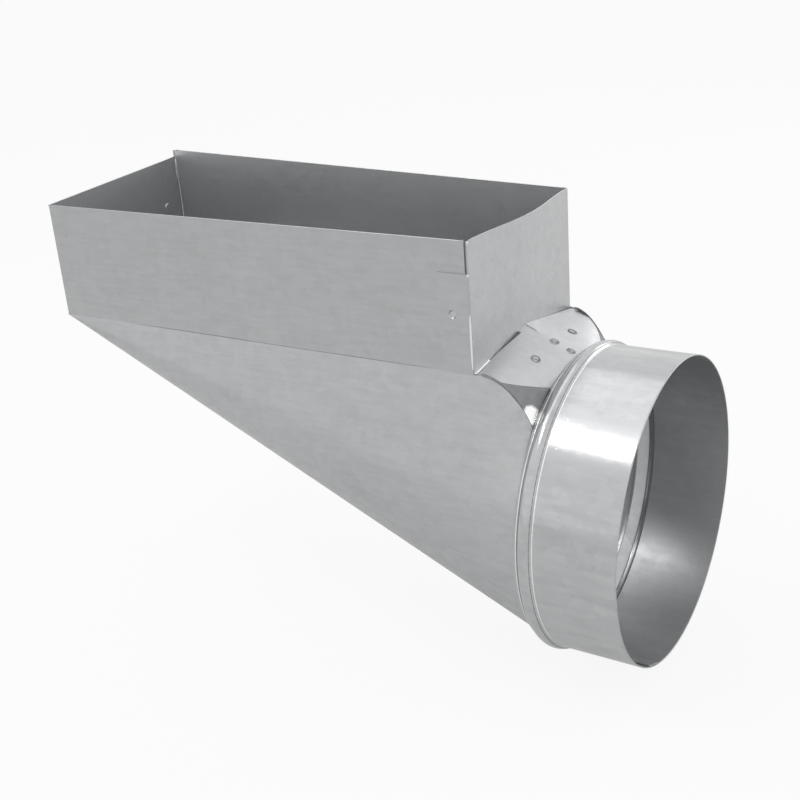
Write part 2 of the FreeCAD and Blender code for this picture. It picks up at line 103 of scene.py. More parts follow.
@dataclass(frozen=True)
class GalvanisedZinc:
    """Hot-dip galvanised steel sheet: cool grey zinc with a small crystal spangle and soft rolling streaks.

    The crystals turn the light a little differently from cell to cell, so the eye sees a faint mottle, and
    handling dulls the zinc in cloudy patches. The sheet is thin, so it waves slightly between its bends. The
    crystals scatter a little light, so the zinc isn't quite a mirror. Inside a rolled ring nothing has rubbed
    it, so it is duller there. The rolls drew its streaks and scratches out along the duct, by the share that
    rolled_out gives for each axis.
    """

    name: str
    bright: str
    dull: str
    roughness: float
    metallic: float = 0.84
    roughness_spread: float = 0.07
    rolled_out: tuple = (0.12, 1.0, 1.0)
    wave_mm: float = 70.0
    wave_depth_mm: float = 0.5
    streak_mm: float = 2.0
    cloud_mm: float = 45.0
    cloud_share: float = 0.25
    streak_and_cloud_share: float = 0.92
    crystal_mm: float = 5.0
    crystal_share: float = 0.16
    crystal_ragged: float = 0.7
    crystal_depth_mm: float = 0.03
    scratch_mm: float = 1.0
    scratch_depth_mm: float = 0.02
    inside_mm: float = 0.0
    inside_roughness: float = 0.2
    # A sheet painted lighter as painted light keeps base_bright and base_dull further out than base_tone_mm
    base_tone_mm: float = 0.0
    base_bright: str = "#C4C5C6"
    base_dull: str = "#ABACAD"
    border_mm: float = 0.1

    def duller_inside(self, tree: bpy.types.NodeTree, place: bpy.types.NodeSocket,
                      rough: bpy.types.NodeSocket) -> bpy.types.NodeSocket:
        """Adds inside_roughness to the roughness of all that lies nearer to the X axis than inside_mm.

        Args:
            tree: the node tree.
            place: the Object coordinates.
            rough: the roughness so far.

        Returns:
            The new roughness.
        """
        off_axis = add_node(tree, "ShaderNodeVectorMath", {"operation": "MULTIPLY", 1: (0.0, 1.0, 1.0)},
                            {0: place})
        radius = add_node(tree, "ShaderNodeVectorMath", {"operation": "LENGTH"}, {0: off_axis.outputs[0]})
        inside = add_node(tree, "ShaderNodeMapRange",
                          {"From Min": (self.inside_mm - self.border_mm) * MM,
                           "From Max": (self.inside_mm + self.border_mm) * MM,
                           "To Min": self.inside_roughness, "To Max": 0.0}, {"Value": radius.outputs["Value"]})
        return add_node(tree, "ShaderNodeMath", links={0: rough, 1: inside.outputs[0]}).outputs[0]

    def base_tone_outside(self, tree: bpy.types.NodeTree, place: bpy.types.NodeSocket,
                        shade: bpy.types.NodeSocket, colour: bpy.types.NodeSocket) -> bpy.types.NodeSocket:
        """Keeps the greyer zinc on the long outer sides, all further out than base_tone_mm, while the rest of
        the sheet is painted lighter as painted light.

        Args:
            tree: the node tree.
            place: the Object coordinates.
            shade: the pattern that goes from dull to bright.
            colour: the colour so far.

        Returns:
            The new colour.
        """
        sideways = add_node(tree, "ShaderNodeSeparateXYZ", links={"Vector": place}).outputs["Y"]
        out = add_node(tree, "ShaderNodeMath", {"operation": "ABSOLUTE"}, {0: sideways})
        mask = add_node(tree, "ShaderNodeMapRange",
                        {"From Min": (self.base_tone_mm - self.border_mm) * MM,
                         "From Max": (self.base_tone_mm + self.border_mm) * MM}, {"Value": out.outputs[0]})
        grey = add_node(tree, "ShaderNodeMix", {"data_type": "RGBA", 6: linear(self.base_dull),
                                                7: linear(self.base_bright)}, {0: shade})
        return add_node(tree, "ShaderNodeMix", {"data_type": "RGBA"},
                        {0: mask.outputs[0], 6: colour, 7: grey.outputs[2]}).outputs[2]

    def material(self) -> bpy.types.Material:
        """Builds the node material.

        Returns:
            The finished material.
        """
        material, output = new_material(self.name)
        tree = material.node_tree
        place = add_node(tree, "ShaderNodeTexCoord").outputs["Object"]
        stretched = add_node(tree, "ShaderNodeMapping", {"Scale": self.rolled_out},
                             {"Vector": place}).outputs[0]
        # Crystal cells, with edges broken up by a fine noise
        wobble = add_node(tree, "ShaderNodeTexNoise", {"Scale": 1 / (self.crystal_mm * MM), "Detail": 3.0},
                          {"Vector": place})
        shift = add_node(tree, "ShaderNodeVectorMath",
                         {"operation": "SCALE", "Scale": self.crystal_ragged * self.crystal_mm * MM},
                         {0: wobble.outputs["Color"]})
        moved = add_node(tree, "ShaderNodeVectorMath", {"operation": "ADD"}, {0: place, 1: shift.outputs[0]})
        crystals = add_node(tree, "ShaderNodeTexVoronoi", {"Scale": 1 / (self.crystal_mm * MM)},
                            {"Vector": moved.outputs[0]})
        cell = add_node(tree, "ShaderNodeSeparateColor", links={"Color": crystals.outputs["Color"]})
        # Clouds where the zinc has dulled
        clouds = add_node(tree, "ShaderNodeTexNoise",
                          {"Scale": 1 / (self.cloud_mm * MM), "Detail": 4.0, "Roughness": 0.55},
                          {"Vector": place})
        # Rolling streaks
        streaks = add_node(tree, "ShaderNodeTexNoise",
                           {"Scale": 1 / (self.streak_mm * MM), "Detail": 3.0, "Roughness": 0.65},
                           {"Vector": stretched})
        # Drawn scratches, coarser than real ones, which are too fine to show
        scratches = add_node(tree, "ShaderNodeTexNoise",
                             {"Scale": 1 / (self.scratch_mm * MM), "Detail": 2.0, "Roughness": 0.7},
                             {"Vector": stretched})
        # The shade goes from dull to bright: each pattern times its share
        cloudy = add_node(tree, "ShaderNodeMath", {"operation": "MULTIPLY", 1: self.cloud_share},
                          {0: clouds.outputs["Fac"]})
        mottled = add_node(tree, "ShaderNodeMath", {"operation": "MULTIPLY_ADD", 1: self.crystal_share},
                           {0: cell.outputs[0], 2: cloudy.outputs[0]})
        shade = add_node(tree, "ShaderNodeMath",
                         {"operation": "MULTIPLY_ADD", 1: self.streak_and_cloud_share - self.cloud_share,
                          "use_clamp": True}, {0: streaks.outputs["Fac"], 2: mottled.outputs[0]})
        colour = add_node(tree, "ShaderNodeMix",
                          {"data_type": "RGBA", 6: linear(self.dull), 7: linear(self.bright)},
                          {0: shade.outputs[0]})
        # The shade stays mostly between 0.25 and 0.75, and bright zinc is the smoother
        rough = add_node(tree, "ShaderNodeMapRange",
                         {"From Min": 0.25, "From Max": 0.75, "To Min": self.roughness + self.roughness_spread,
                          "To Max": self.roughness - self.roughness_spread}, {"Value": shade.outputs[0]})
        waves = add_node(tree, "ShaderNodeTexNoise", {"Scale": 1 / (self.wave_mm * MM), "Detail": 2.0},
                         {"Vector": stretched})
        broad = add_node(tree, "ShaderNodeBump", {"Strength": 1.0, "Distance": self.wave_depth_mm * MM},
                         {"Height": waves.outputs["Fac"]})
        grain = add_node(tree, "ShaderNodeBump", {"Strength": 0.35, "Distance": self.scratch_depth_mm * MM},
                         {"Height": scratches.outputs["Fac"], "Normal": broad.outputs[0]})
        facet = add_node(tree, "ShaderNodeBump", {"Strength": 0.2, "Distance": self.crystal_depth_mm * MM},
                         {"Height": cell.outputs[1], "Normal": grain.outputs[0]})
        roughness, tint = rough.outputs[0], colour.outputs[2]
        if self.inside_mm:
            roughness = self.duller_inside(tree, place, roughness)
        if self.base_tone_mm:
            tint = self.base_tone_outside(tree, place, shade.outputs[0], tint)
        shader = add_node(tree, "ShaderNodeBsdfPrincipled", {"Metallic": self.metallic},
                          {"Base Color": tint, "Roughness": roughness, "Normal": facet.outputs[0]})
        tree.links.new(shader.outputs[0], output.inputs[0])
        return material


@dataclass(frozen=True)
class CutSteel:
    """Sheared or bent sheet edge, or a line of painted highlight or painted shade, with fine burr marks.

    Where it is a painted highlight it is brighter and smoother than the face, and where it is painted shade in
    a bend, groove or gap it is darker and duller.
    """

    name: str
    bright: str
    dull: str
    smoothest: float
    roughest: float
    burr_mm: float = 3.0
    burr_depth_mm: float = 0.05

    def material(self) -> bpy.types.Material:
        """Builds the node material.

        Returns:
            The finished material.
        """
        material, output = new_material(self.name)
        tree = material.node_tree
        place = add_node(tree, "ShaderNodeTexCoord").outputs["Object"]
        burr = add_node(tree, "ShaderNodeTexNoise", {"Scale": 1 / (self.burr_mm * MM), "Detail": 3.0},
                        {"Vector": place}).outputs["Fac"]
        colour = add_node(tree, "ShaderNodeMix",
                          {"data_type": "RGBA", 6: linear(self.dull), 7: linear(self.bright)}, {0: burr})
        rough = add_node(tree, "ShaderNodeMapRange", {"To Min": self.smoothest, "To Max": self.roughest},
                         {"Value": burr})
        bump = add_node(tree, "ShaderNodeBump", {"Strength": 0.4, "Distance": self.burr_depth_mm * MM},
                        {"Height": burr})
        shader = add_node(tree, "ShaderNodeBsdfPrincipled", {"Metallic": 1.0},
                          {"Base Color": colour.outputs[2], "Roughness": rough.outputs[0],
                           "Normal": bump.outputs[0]})
        tree.links.new(shader.outputs[0], output.inputs[0])
        return material


@dataclass(frozen=True)
class PaintedShadeAndHighlightZinc:
    """Zinc beside the throat, painted dull and dark as painted shade, with small dents, and one spot painted
    bright as a painted highlight.

    Both sides of the part have the spot, because it is placed by the size of each coordinate. Its edge is
    ragged: the distance to it is less by ragged times the dents' height, and the painted highlight goes from
    all at full_at to none at none_at, each in sizes of the spot.
    """

    spot: tuple
    name: str = "painted_shade_and_highlight_zinc"
    # bright is the painted highlight; dull and dark are painted shade
    bright: str = "#FCFCFC"
    dull: str = "#9A9C9D"
    dark: str = "#808284"
    roughness: float = 0.48
    highlight_roughness: float = 0.16
    dent_mm: float = 4.0
    dent_depth_mm: float = 0.15
    spot_mm: float = 4.2
    ragged: float = 1.7
    full_at: float = -0.1
    none_at: float = 0.35

    def material(self) -> bpy.types.Material:
        """Builds the node material.

        Returns:
            The finished material.
        """
        material, output = new_material(self.name)
        tree = material.node_tree
        size = self.spot_mm * MM
        place = add_node(tree, "ShaderNodeTexCoord").outputs["Object"]
        dents = add_node(tree, "ShaderNodeTexNoise", {"Scale": 1 / (self.dent_mm * MM), "Detail": 2.0},
                         {"Vector": place}).outputs["Fac"]
        # Spot of painted highlight, placed on both sides, with a ragged edge
        either = add_node(tree, "ShaderNodeVectorMath", {"operation": "ABSOLUTE"}, {0: place})
        away = add_node(tree, "ShaderNodeVectorMath",
                        {"operation": "DISTANCE", 1: [abs(value) * MM for value in self.spot]},
                        {0: either.outputs[0]})
        edge = add_node(tree, "ShaderNodeMath", {"operation": "MULTIPLY_ADD", 1: -self.ragged * size},
                        {0: dents, 2: away.outputs["Value"]})
        painted_highlight = add_node(tree, "ShaderNodeMapRange",
                          {"From Min": self.full_at * size, "From Max": self.none_at * size,
                           "To Min": 1.0, "To Max": 0.0}, {"Value": edge.outputs[0]}).outputs[0]
        # Painted shade: dark and dull mixed by the dents, under the painted highlight
        shaded_tone = add_node(tree, "ShaderNodeMix",
                        {"data_type": "RGBA", 6: linear(self.dark), 7: linear(self.dull)}, {0: dents})
        colour = add_node(tree, "ShaderNodeMix", {"data_type": "RGBA", 7: linear(self.bright)},
                          {0: painted_highlight, 6: shaded_tone.outputs[2]})
        rough = add_node(tree, "ShaderNodeMapRange",
                         {"To Min": self.roughness, "To Max": self.highlight_roughness}, {"Value": painted_highlight})
        bump = add_node(tree, "ShaderNodeBump", {"Strength": 0.5, "Distance": self.dent_depth_mm * MM},
                        {"Height": dents})
        shader = add_node(tree, "ShaderNodeBsdfPrincipled", {"Metallic": 1.0},
                          {"Base Color": colour.outputs[2], "Roughness": rough.outputs[0],
                           "Normal": bump.outputs[0]})
        tree.links.new(shader.outputs[0], output.inputs[0])
        return material


def dress_node(node: str, finish: bpy.types.Material) -> None:
    """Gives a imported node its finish.

    Args:
        node: the node's name.
        finish: its material.
    """
    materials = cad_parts[node].data.materials
    materials.clear()
    materials.append(finish)


def tube_faces(rows: int, columns: int, closed: bool) -> list[list[int]]:
    """Faces of a section carried along a path, whose point (row, column) is number row * columns + column.

    Each quad joins a point to those next to it in the next row and the next column. An open path has one flat
    face at each end.

    Args:
        rows: points along the path.
        columns: points round the section.
        closed: whether the last row meets the first.

    Returns:
        The point numbers of each face.
    """
    row, column = np.meshgrid(np.arange(rows if closed else rows - 1), np.arange(columns), indexing="ij")
    below, beside = (row + 1) % rows, (column + 1) % columns
    corners = (row * columns + column, below * columns + column, below * columns + beside,
               row * columns + beside)
    faces = np.stack(corners, -1).reshape(-1, 4).tolist()
    if not closed:
        last = (rows - 1) * columns
        faces += [list(range(columns)), list(reversed(range(last, last + columns)))]
    return faces


def new_piece(name: str, points: np.ndarray, faces: list[list[int]], finish: bpy.types.Material,
              slot: str = "galvanised_sheet") -> None:
    """Makes a smooth mesh piece in metres that rides on the part.

    Args:
        name: the piece's name.
        points: its points in millimetres.
        faces: its faces as point numbers.
        finish: its material.
        slot: not used.
    """
    mesh = bpy.data.meshes.new(name)
    mesh.from_pydata((points * MM).tolist(), [], faces)
    mesh.polygons.foreach_set("use_smooth", np.ones(len(mesh.polygons), dtype=bool))
    mesh.materials.append(finish)
    mesh.update()
    piece = bpy.data.objects.new(name, mesh)
    bpy.context.scene.collection.objects.link(piece)
    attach(piece, "root")
    log.info("%s: %d points", name, len(points))


@dataclass(frozen=True)
class Oval:
    """Section of a thin edge, roll, or line of painted highlight or painted shade.

    Its height is half its size in the direction that the line stands in, and its width half its size across.
    Over the share fade at each end of an open path both shrink with the sine of the way to end_size.
    """

    height: float
    width: float
    sides: int = 10
    fade: float = 0.0
    end_size: float = 0.2

    def carry(self, path: np.ndarray, aside: np.ndarray | tuple,
              closed: bool = False) -> tuple[np.ndarray, list[list[int]]]:
        """Carries the oval along a path.

        Each point is path + height * cos(t) * aside + width * sin(t) * across, with t once round and across
        the direction square to both the path and aside.

        Args:
            path: points of the path, one row each.
            aside: a unit direction square to the path, one for all points or one for each.
            closed: whether the path is a closed ring.

        Returns:
            The points and the faces.
        """
        aside = np.broadcast_to(aside, path.shape)
        ahead = np.roll(path, -1, 0) - np.roll(path, 1, 0)
        if not closed:
            ahead[0], ahead[-1] = path[1] - path[0], path[-1] - path[-2]
        ahead /= np.linalg.norm(ahead, axis=1, keepdims=True)
        across = np.cross(ahead, aside)
        turn = np.linspace(0, 2 * np.pi, self.sides, endpoint=False)[None, :, None]
        section = self.height * np.cos(turn) * aside[:, None] + self.width * np.sin(turn) * across[:, None]
        if self.fade:
            share = np.linspace(0, 1, len(path))[:, None, None]
            from_end = np.minimum(np.minimum(share, 1 - share) / self.fade, 1)
            section = (self.end_size + (1 - self.end_size) * np.sin(np.pi / 2 * from_end)) * section
        return (path[:, None] + section).reshape(-1, 3), tube_faces(len(path), self.sides, closed)


def straight_run(start: tuple, end: tuple, steps: int, waver: float = 0.0, seed: int = 1) -> np.ndarray:
    """Points on a straight run, which may waver slowly upwards and downwards.

    Each point is start + share * (end - start) + waver * waves / 4 * sin(pi * share) upwards, where waves is
    the sum of four sines of random phase and strength.

    Args:
        start: first point.
        end: last point.
        steps: number of points.
        waver: largest shift.
        seed: seed of the waves.

    Returns:
        One row for each point.
    """
    share = np.linspace(0, 1, steps)[:, None]
    rng = np.random.default_rng(seed)
    phases, strengths = rng.uniform(0, 2 * np.pi, 4), rng.uniform(0.5, 1, 4)
    waves = sum(strength * np.sin(2 * np.pi * count * share + phase)
                for count, (phase, strength) in enumerate(zip(phases, strengths), 2))
    rise = waver * waves / 4 * np.sin(np.pi * share)
    return np.array(start) + share * (np.array(end) - np.array(start)) + rise * np.array(UP)


@dataclass
class RegisterBox:
    """Open rectangular box of the boot: its cut rim, its crease and its clinched corner.

    The edge stops corner_clear short of a bend, and the bowed right wall starts bow_clear inside the sides.
    """

    left_x: float = -341.2
    right_x: float = -78.2
    half_width: float = 52.5
    crease_z: float = 78.6
    rim_z: float = 141.1
    left_rise: float = 5.5
    back_rise: float = 9.5
    wall: float = 0.5
    bow: float = 4.5
    bow_clear: float = 1.8
    corner_clear: float = 1.5
    back_left_clear: float = 1.0
    rim_points: int = 60
    rim_section: Oval = Oval(0.3, 0.3)
    crease_from_left: float = 27.0
    crease_from_right: float = 1.0
    crease_sunk: float = 0.1
    crease_points: int = 120
    crease_waver: float = 0.5
    crease_seed: int = 7
    crease_section: Oval = Oval(0.14, 0.5, fade=0.2)
    flange_bend: float = 1.3
    flange_step: float = 0.56
    fold_sunk: float = 0.06
    fold_points: int = 40
    fold_spans: tuple = (("front", 0.6, 30.5), ("tip", 46.2, 47.4))
    fold_section: Oval = Oval(0.14, 0.5, sides=12, fade=0.3)
    top_corner_in: float = 0.35
    top_corner_sunk: float = 0.05
    top_corner_span: tuple = (-1.5, 0.1)
    top_corner_points: int = 20
    top_corner_section: Oval = Oval(0.16, 0.6, sides=12, fade=0.4)
    back_fold_foot: float = 3.0
    back_fold_head: float = 1.0
    back_fold_section: Oval = Oval(0.6, 0.6, sides=12, fade=0.1)

    def dress(self, front: bpy.types.Material, back: bpy.types.Material) -> None:
        """Gives both folded sheets their zinc.

        Args:
            front: the zinc of the front sheet.
            back: the zinc of the back sheet, painted lighter as painted light on the end wall and roof.
        """
        dress_node("front_shell", front)
        dress_node("back_shell", back)

    def rim(self, edge: bpy.types.Material) -> None:
        """Rounded cut edge along the top of each wall; the right one bows out with the square of a cosine.

        Args:
            edge: the cut steel material.
        """
        middle = self.wall / 2
        front, back = -self.half_width + middle, self.half_width - middle
        left, right = self.left_x + middle, self.right_x - middle
        low, high_left, high_back = self.rim_z, self.rim_z + self.left_rise, self.rim_z + self.back_rise
        clear, reach = self.corner_clear, self.half_width - self.bow_clear
        y = np.linspace(-reach, reach, self.rim_points)
        bowed = np.stack([right + self.bow * np.cos(np.pi * y / (2 * reach)) ** 2, y, np.full_like(y, low)], 1)
        ends = {"front": ((left, front, low), (right - clear, front, low)),
                "back": ((left + clear, back, high_back), (right - clear, back, low)),
                "left": ((left, front + clear, low), (left, back - self.back_left_clear, high_left))}
        paths = {name: straight_run(start, end, self.rim_points) for name, (start, end) in ends.items()}
        for name, path in (paths | {"right": bowed}).items():
            new_piece(f"rim_edge_{name}", *self.rim_section.carry(path, UP), edge)

    def crease(self, bend: bpy.types.Material) -> None:
        """Fold line between the long walls and the taper, faint and wavering, darkened as painted shade.

        Args:
            bend: the material darkened as painted shade.
        """
        for side in Side:
            y = side.value * (self.half_width - self.crease_sunk)
            path = straight_run((self.left_x + self.crease_from_left, y, self.crease_z),
                                (self.right_x - self.crease_from_right, y, self.crease_z),
                                self.crease_points, self.crease_waver, self.crease_seed + side.value)
            new_piece(f"crease_{side.word}", *self.crease_section.carry(path, (0.0, side.value, 0.0)), bend)

    def corner_fold(self, painted_highlight: bpy.types.Material) -> None:
        """Lines of painted highlight at the front right corner, on its bend and its two cut corners, and at the
        back left.

        Args:
            painted_highlight: the near-white material of painted highlights.
        """
        aside = (DIAGONAL, -DIAGONAL, 0.0)
        radius = self.flange_bend - self.fold_sunk
        x = self.right_x - self.flange_bend + radius * DIAGONAL
        y = -self.half_width - self.flange_step + self.flange_bend - radius * DIAGONAL
        for name, low, high in self.fold_spans:
            path = straight_run((x, y, self.crease_z + low), (x, y, self.crease_z + high), self.fold_points)
            new_piece(f"corner_fold_{name}", *self.fold_section.carry(path, aside), painted_highlight)
        x, y = self.right_x - self.top_corner_sunk, self.top_corner_in - self.half_width
        low, high = self.top_corner_span
        path = straight_run((x, y, self.rim_z + low), (x, y, self.rim_z + high), self.top_corner_points)
        new_piece("corner_fold_top", *self.top_corner_section.carry(path, ALONG_DUCT), painted_highlight)
        x, y = self.left_x + self.wall, self.half_width - self.wall
        path = straight_run((x, y, self.crease_z + self.back_fold_foot),
                            (x, y, self.rim_z + self.left_rise - self.back_fold_head), self.fold_points)
        new_piece("corner_fold_back", *self.back_fold_section.carry(path, aside), painted_highlight)


@dataclass
class Throat:
    """Roofed passage from the box's end wall to the neck, with its hem, its sides painted with shade and a
    highlight, and its buttons.

    Angles are turned about the duct's axis from straight up, in degrees.
    """

    left_x: float = -341.2
    root_x: float = -78.2
    reach: float = 27.5
    half_width: float = 52.5
    crease_z: float = 78.6
    peak: float = 7.6
    neck_z: float = 73.6
    neck_radius: float = 72.6
    corner_end: float = 44.0
    fold_end: float = 23.0
    corner_power: float = 4.0
    fold_power: float = 2.9
    fold_radius_power: float = 1.8
    sheet_step: float = 0.56
    tuck_gap: float = 0.35
    slot_start: float = 38.5
    hem_from_corner: float = 0.6
    hem_shift: tuple = (0.2, 0.1)
    hem_points: int = 30
    hem_section: Oval = Oval(0.6, 0.8, sides=12)
    skin_x: tuple = (-71.0, -50.9)
    skin_turned: tuple = (0.06, 0.97)
    skin_points: tuple = (40, 14)
    skin_top: float = 0.16
    skin_bottom: float = -0.05
    # Place of the painted highlight on each side
    spot_x: float = -53.6
    spot_turned: float = 0.22
    cut_x: tuple = (-75.5, -52.5)
    cut_points: int = 60
    cut_section: Oval = Oval(0.16, 0.3, fade=0.15)
    gap_points: int = 44
    gap_turn: float = 0.011
    gap_section: Oval = Oval(0.2, 0.8, fade=0.15)
    ring_points: int = 72
    button_reach: tuple = (15.5, 24.1)
    button_radius: float = 2.3
    burr_out: float = 0.15
    burr_sunk: float = 0.25
    burr_section: Oval = Oval(0.24, 0.24)
    side_button: tuple = (-62.7, 20.6, 77.2)
    side_button_radius: float = 2.2
    side_button_slope: float = 0.16
    side_button_section: Oval = Oval(0.3, 0.2)

    def roof_z(self, y: float) -> float:
        """Height of the roof where it meets the end wall: straight from the ridge down to each fold."""
        return self.crease_z + self.peak * (1 - abs(y) / self.half_width)

    def hem(self, painted_highlight: bpy.types.Material) -> None:
        """Closed fold between the slot and the front corner, a round roll on the roof's root, painted bright as
        a painted highlight.

        Args:
            painted_highlight: the bright material of the fold's painted highlight.
        """
        forward, up = self.hem_shift
        start, end = [(self.root_x + forward, y, self.roof_z(y) + up)
                      for y in (self.hem_from_corner - self.half_width, -self.slot_start)]
        new_piece("throat_hem", *self.hem_section.carry(straight_run(start, end, self.hem_points), UP), painted_highlight)

    def taper_side_radius(self, angle: np.ndarray | float, x: np.ndarray | float,
                          inset: np.ndarray | float) -> np.ndarray:
        """Radius of the taper's side from the duct's axis: its flat side, fading into the round neck.

        The flat side is (neck - inset) / cos(touch - angle). The share of it falls with the square of the way
        along the throat, and the rest is the distance of the line where the flat side meets the round one.

        Args:
            angle: angle from straight up, in radians.
            x: place along the duct.
            inset: depth below the outer sheet.

        Returns:
            The radius in millimetres.
        """
        neck_x = self.root_x + self.reach
        side, radius = self.half_width - inset, self.neck_radius - inset
        touch = np.arctan2(side, self.crease_z) + np.arccos(radius / np.hypot(side, self.crease_z))
        slope = math.atan2(self.crease_z + self.neck_radius, neck_x - self.left_x)
        start = self.left_x + inset / math.sin(slope)
        share = (x - start) / (neck_x - start)
        low = np.hypot(side * (1 - share) + radius * np.sin(touch) * share,
                       self.crease_z * (1 - share) + radius * np.cos(touch) * share)
        fade = 1 - ((x - self.root_x) / self.reach) ** 2
        return fade * radius / np.cos(touch - angle) + (1 - fade) * low

    def side_point(self, x: np.ndarray | float, turned: np.ndarray | float,
                   lift: np.ndarray | float) -> np.ndarray:
        """Point on the throat's front side, turned from 0 at the taper's cut edge to 1 at the fold.

        Both edges start at the box's corner, and their angles grow with powers of the way along. The radius
        runs straight from the taper's side to the fold, which dips to the neck.

        Args:
            x: place along the duct.
            turned: share of the way from the cut edge to the fold.
            lift: height above the sheet.

        Returns:
            Points with a last axis of 3.
        """
        way = (x - self.root_x) / self.reach
        start = math.atan2(self.half_width, self.crease_z)
        corner = start + (math.radians(self.corner_end) - start) * way ** self.corner_power
        fold = start + (math.radians(self.fold_end) - start) * way ** self.fold_power
        tucked = self.taper_side_radius(corner, x, self.sheet_step + self.tuck_gap * way)
        root = self.taper_side_radius(start, self.root_x, self.sheet_step)
        dip = way ** self.fold_radius_power
        radius = (1 - turned) * tucked + turned * ((1 - dip) * root + dip * self.neck_z) + lift
        angle = corner + (fold - corner) * turned
        return np.stack([x + 0 * angle, -radius * np.sin(angle), radius * np.cos(angle)], -1)

    def painted_highlight_spot(self) -> tuple:
        """Place of the spot of painted highlight on the front side."""
        return tuple(self.side_point(self.spot_x, self.spot_turned, 0.0))

    def sides(self, painted_shade_and_highlight: bpy.types.Material, shade: bpy.types.Material, edge: bpy.types.Material) -> None:
        """Skin on each side between the fold and the cut edge, painted with shade and a highlight, with the cut
        edge and its gap, a dark strip of painted shadow.

        The skin is a closed band of two layers, skin_top and skin_bottom from the sheet, whose section runs
        out over the top layer and back under it. The gap is the cut edge turned up by gap_turn about the duct's
        axis, which for so small a turn adds the turn times (0, z, -y).

        Args:
            painted_shade_and_highlight: the zinc painted with shade and a highlight.
            shade: the material of the gap, dark as a painted shadow.
            edge: the cut steel material of the cut edge.
        """
        rows, columns = self.skin_points
        x = np.linspace(*self.skin_x, rows)[:, None]
        out = np.linspace(*self.skin_turned, columns)[None, :]
        skin = np.concatenate([self.side_point(x, out, self.skin_top),
                               self.side_point(x, out[:, ::-1], self.skin_bottom)], 1).reshape(-1, 3)
        faces = tube_faces(rows, 2 * columns, False)
        along = np.linspace(*self.cut_x, self.cut_points)
        step = self.sheet_step + self.tuck_gap * (along - self.root_x) / self.reach
        cut = self.side_point(along, np.zeros(self.cut_points), step)
        # The gap is a dark strip along the cut edge: a painted shadow
        turn = self.gap_turn * np.array(((0, 0, 0), (0, 0, 1), (0, -1, 0)))
        gap = cut[:self.gap_points] + cut[:self.gap_points] @ turn.T
        for side in Side:
            mirror = np.array((1.0, -side.value, 1.0))
            turned = faces if side is Side.FRONT else [face[::-1] for face in faces]
            new_piece(f"throat_side_{side.word}", skin * mirror, turned, painted_shade_and_highlight)
            for name, path, section, finish in (("gap", gap, self.gap_section, shade),
                                                ("cut", cut, self.cut_section, edge)):
                aside = path * (0.0, 1.0, 1.0)
                aside /= np.linalg.norm(aside, axis=1, keepdims=True)
                new_piece(f"throat_{name}_{side.word}", *section.carry(path * mirror, aside * mirror), finish)

    def button_rims(self, burr: bpy.types.Material, bend: bpy.types.Material) -> None:
        """Raised burr round each deep button on the ridge and a ring darkened as painted shade round each
        shallow button beside it.

        Each is a ring in the roof's own slope.

        Args:
            burr: the material of the deep buttons' rings.
            bend: the material of the shallow ones, darkened as painted shade.
        """
        drop = (self.crease_z + self.peak - self.neck_z) / self.reach
        ahead = np.array((1.0, 0.0, -drop)) / math.hypot(1.0, drop)
        turn = np.linspace(0, 2 * np.pi, self.ring_points, endpoint=False)[:, None]
        for number, reach in enumerate(self.button_reach, 1):
            centre = np.array((self.root_x + reach, 0.0,
                               self.crease_z + self.peak - drop * reach - self.burr_sunk))
            out = np.cos(turn) * ahead + np.sin(turn) * np.array((0.0, 1.0, 0.0))
            path = centre + (self.button_radius + self.burr_out) * out
            new_piece(f"button_rim_{number}", *self.burr_section.carry(path, out, closed=True), burr)
        x, y, z = self.side_button
        slope = self.side_button_slope
        for side in Side:
            down = np.array((0.0, side.value, -slope)) / math.hypot(1.0, slope)
            out = np.cos(turn) * ahead + np.sin(turn) * down
            path = np.array((x, side.value * y, z)) + self.side_button_radius * out
            new_piece(f"button_rim_{side.word}", *self.side_button_section.carry(path, out, closed=True), bend)


